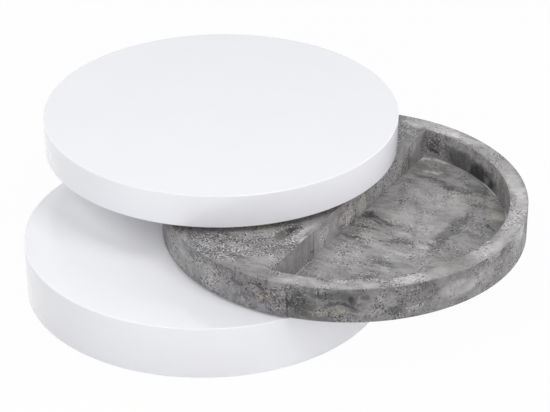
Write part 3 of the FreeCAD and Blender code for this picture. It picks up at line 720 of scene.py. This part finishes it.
def build_base_shell():
    """A drum that is open below, with the lower bearing's pocket and the axle's hole in its panel."""
    mesh = bmesh.new()
    centre, radius = middle("base_rim_segments"), radius_of("base_rim_segments")
    high, underside = top_of("base_top_panel"), foot_of("base_top_panel")
    pocket, pocket_floor = radius_of("lower_race_bottom") + POCKET_CLEARANCE, foot_of("lower_race_bottom")
    foot, rim = drum_side(mesh, centre, radius, foot_of("base_rim_segments"), high)
    border = lay(mesh, circle(PIVOT, pocket + POCKET_BORDER, high))
    brink = lay(mesh, circle(PIVOT, pocket, high))
    seat = lay(mesh, circle(PIVOT, pocket, pocket_floor))
    bands(mesh, [rim, border, brink, seat], LACQUERED)
    bore_top = lay(mesh, circle(PIVOT, AXLE_HOLE, pocket_floor))
    bore_foot = lay(mesh, circle(PIVOT, AXLE_HOLE, underside))
    ceiling = lay(mesh, circle(centre, radius - DRUM_WALL, underside))
    bands(mesh, [seat, bore_top, bore_foot, ceiling, foot], BARE)
    finished_piece("base_shell", mesh, [LACQUER, BOARD], "base",
                   ["base_top_panel", "base_rim_segments"])


# ---- the tray -----------------------------------------------------------------------------------
TRAY_EDGE, EDGE_STEPS = 0.001, 3
TRAY_FINISHES = [DECK_CONCRETE, FLOOR_CONCRETE, SIDE_CONCRETE, RECESS_CONCRETE, EDGE_CONCRETE, BOARD]
DECK, FLOOR, SIDE, RECESS, EDGE, INSIDE = range(len(TRAY_FINISHES))


def tray_outside(mesh, low, high):
    """The tray's underside and side. Gives the lines round the axle's hole and round the top face."""
    bore = lay(mesh, circle(PIVOT, AXLE_HOLE, low))
    skirt = lay(mesh, circle(TRAY_MIDDLE, TRAY_RADIUS - 2 * TRAY_EDGE, low))
    band(mesh, bore, skirt, DECK)
    lower = [lay(mesh, circle(TRAY_MIDDLE, TRAY_RADIUS - inset, low + drop))
             for inset, drop in edge_steps(TRAY_EDGE, EDGE_STEPS)]
    upper = [lay(mesh, circle(TRAY_MIDDLE, TRAY_RADIUS - inset, high - drop))
             for inset, drop in reversed(edge_steps(TRAY_EDGE, EDGE_STEPS))]
    bands(mesh, [skirt] + lower, EDGE)
    band(mesh, lower[-1], upper[0], SIDE)
    bands(mesh, upper, EDGE)
    rim = lay(mesh, circle(TRAY_MIDDLE, TRAY_RADIUS - 2 * TRAY_EDGE, high))
    band(mesh, upper[-1], rim, DECK)
    return bore, rim


def tray_recess(mesh, ground, high):
    """The open recess beyond the divider. Gives the line round its mouth."""
    def recess_line(grow, height):
        outline = cut_circle(TRAY_MIDDLE, RECESS_RADIUS + grow, DIVIDER_FACE - grow, height, beyond=True)
        return lay(mesh, outline)

    mouth = recess_line(2 * TRAY_EDGE, high)
    lip = [recess_line(inset, high - drop) for inset, drop in edge_steps(TRAY_EDGE, EDGE_STEPS)]
    band(mesh, mouth, lip[0], DECK)
    bands(mesh, lip, EDGE)
    foot = recess_line(0, ground)
    band(mesh, lip[-1], foot, RECESS)
    floor = recess_line(-3 * TRAY_EDGE, ground)
    band(mesh, foot, floor, EDGE)
    flat_face(mesh, [floor], FLOOR)
    return mouth


def tray_hollow(mesh, ground, underside, bore_high, bore_low):
    """The closed space under the deck, with the axle's hole through its ceiling and its floor."""
    divider_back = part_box("tray_divider")[0].x - TRAY_MIDDLE.x

    def hollow_line(height):
        return lay(mesh, cut_circle(TRAY_MIDDLE, RECESS_RADIUS, divider_back, height, beyond=False))

    ceiling, floor = hollow_line(underside), hollow_line(ground)
    under_deck = lay(mesh, circle(PIVOT, AXLE_HOLE, underside))
    over_floor = lay(mesh, circle(PIVOT, AXLE_HOLE, ground))
    band(mesh, bore_high, under_deck, INSIDE)
    flat_face(mesh, [ceiling, under_deck], INSIDE)
    band(mesh, ceiling, floor, INSIDE)
    flat_face(mesh, [floor, over_floor], INSIDE)
    band(mesh, over_floor, bore_low, INSIDE)


def build_tray_shell():
    mesh = bmesh.new()
    high, ground = top_of("tray_deck"), top_of("tray_floor_panel")
    bore_low, rim = tray_outside(mesh, TRAY_FOOT.z, high)
    mouth = tray_recess(mesh, ground, high)
    bore_high = lay(mesh, circle(PIVOT, AXLE_HOLE, high))
    flat_face(mesh, [rim, mouth, bore_high], DECK)
    tray_hollow(mesh, ground, foot_of("tray_deck"), bore_high, bore_low)
    finished_piece("tray_shell", mesh, TRAY_FINISHES, "tray",
                   ["tray_floor_panel", "tray_recess_rim_segments", "tray_deck_rim_segments", "tray_deck",
                    "tray_divider"])


build_base_shell()
build_tray_shell()
build_top_shell()


# ---- finishes of the other pieces ---------------------------------------------------------------
FINISH_OF = {
    "base_floor_panel": BACKING, "top_floor_panel": BACKING,
    "base_ribs": BOARD, "base_pivot_block": BOARD, "tray_ribs": BOARD, "tray_pivot_block": BOARD,
    "top_ribs": BOARD, "top_pivot_block": BOARD,
    "base_bush_upper": NYLON, "base_bush_lower": NYLON, "tray_bush_lower": NYLON, "tray_bush_upper": NYLON,
    "lower_cage": NYLON, "upper_cage": NYLON,
    "access_cap": CAP_PLASTIC, "floor_glides": GLIDE_PLASTIC,
    "glide_nails": ZINC, "flange_bolts": ZINC, "axle_washer": ZINC, "axle_nut": ZINC,
    "lower_race_bottom_screws": ZINC, "lower_race_top_screws": ZINC,
    "upper_race_bottom_screws": ZINC, "upper_race_top_screws": ZINC,
    "lower_race_bottom": RACE_STEEL, "lower_race_top": RACE_STEEL,
    "upper_race_bottom": RACE_STEEL, "upper_race_top": RACE_STEEL,
    "lower_balls": BALL_STEEL, "upper_balls": BALL_STEEL,
    "pivot_axle": AXLE_STEEL, "flange_inserts": BRASS,
    "base_top_panel": LACQUER, "base_rim_segments": LACQUER,
    "top_panel": LACQUER, "top_rim_segments": LACQUER,
    "tray_floor_panel": FLOOR_CONCRETE, "tray_deck": DECK_CONCRETE, "tray_divider": RECESS_CONCRETE,
    "tray_recess_rim_segments": SIDE_CONCRETE, "tray_deck_rim_segments": SIDE_CONCRETE,
}
for name, finish in FINISH_OF.items():
    for held in NODES[name].material_slots:
        held.material = finish


# ---- floor, light and backdrop ------------------------------------------------------------------
WHITE = (1, 1, 1, 1)
FLOOR_HALF_SIZE = 9.0
FLOOR_GLOW_SHARE = 0.97
TABLE_MIDDLE = (CAD_BOX[0] + CAD_BOX[1]) / 2
LAMP_DISTANCE, LAMP_SIZE = 4.6, 2.15


def seen_directly(tree):
    """1 where the camera sees a surface, straight or in a reflection or through glass."""
    rays = tree.nodes.new("ShaderNodeLightPath").outputs
    seen = sums(tree, "MAXIMUM", rays["Is Camera Ray"], rays["Is Glossy Ray"])
    return sums(tree, "MAXIMUM", seen, rays["Is Transmission Ray"])


def floor_finish():
    """A dull pale floor that looks white itself, and throws back only its own share of the light."""
    finish, tree, shader, place = new_finish("pale_floor")
    drift = cloud(tree, place, 1.5, 3.0, 0.5)
    shade = mixed(tree, drift, (0.65, 0.65, 0.655, 1), (0.67, 0.67, 0.675, 1))
    tree.links.new(shade, shader.inputs["Base Color"])
    shader.inputs["Roughness"].default_value = 0.9
    shader.inputs["Specular IOR Level"].default_value = 0.0
    glow = put(tree, "Emission", {"Color": WHITE, "Strength": 1.0})
    share = sums(tree, "MULTIPLY", seen_directly(tree), FLOOR_GLOW_SHARE)
    seen = put(tree, "MixShader", {0: share, 1: shader.outputs[0], 2: glow.outputs[0]})
    tree.links.new(seen.outputs[0], tree.nodes["Material Output"].inputs["Surface"])
    return finish


def lay_floor():
    mesh = bmesh.new()
    corners = [Vector((x, y, 0)) * FLOOR_HALF_SIZE for x, y in ((-1, -1), (1, -1), (1, 1), (-1, 1))]
    mesh.faces.new(lay(mesh, corners))
    new_object("floor", mesh, [floor_finish()])


def hang_lamp(name, bearing, height_angle, power):
    """A softbox that faces the table and is not mirrored in it. Its bearing runs from +X towards +Y."""
    turn, rise = math.radians(bearing), math.radians(height_angle)
    data = bpy.data.lights.new(name, "AREA")
    data.shape, data.size, data.energy = "SQUARE", LAMP_SIZE, power
    lamp = bpy.data.objects.new(name, data)
    away = Vector((math.cos(turn) * math.cos(rise), math.sin(turn) * math.cos(rise), math.sin(rise)))
    lamp.location = TABLE_MIDDLE + away * LAMP_DISTANCE
    lamp.rotation_euler = away.to_track_quat("Z", "Y").to_euler()
    lamp.visible_glossy = False
    bpy.context.scene.collection.objects.link(lamp)


def light_the_room(ambient):
    """Soft light from the ceiling and the walls. It fades out near the floor, where the lamps take over."""
    world = bpy.data.worlds.new("pale_room")
    world.use_nodes = True
    bpy.context.scene.world = world
    tree = world.node_tree
    direction = tree.nodes.new("ShaderNodeTexCoord").outputs["Generated"]
    rise = put(tree, "SeparateXYZ", {0: direction}).outputs[2]
    strength = ease(tree, rise, 0.08, 0.35, 0.0, ambient)
    lit = put(tree, "Background", {"Color": WHITE, "Strength": strength})
    seen = put(tree, "Background", {"Color": WHITE, "Strength": 1.0})
    both = put(tree, "MixShader", {0: seen_directly(tree), 1: lit.outputs[0], 2: seen.outputs[0]})
    tree.links.new(both.outputs[0], tree.nodes["World Output"].inputs["Surface"])


lay_floor()
light_the_room(0.30)
hang_lamp("softbox_above", bearing=-15, height_angle=65, power=64)
hang_lamp("softbox_in_front", bearing=-60, height_angle=24, power=66)
hang_lamp("softbox_front_left", bearing=-115, height_angle=45, power=54)
hang_lamp("softbox_right", bearing=30, height_angle=12, power=105)
hang_lamp("softbox_left", bearing=165, height_angle=12, power=106)

bpy.context.scene.view_settings.view_transform = "Standard"
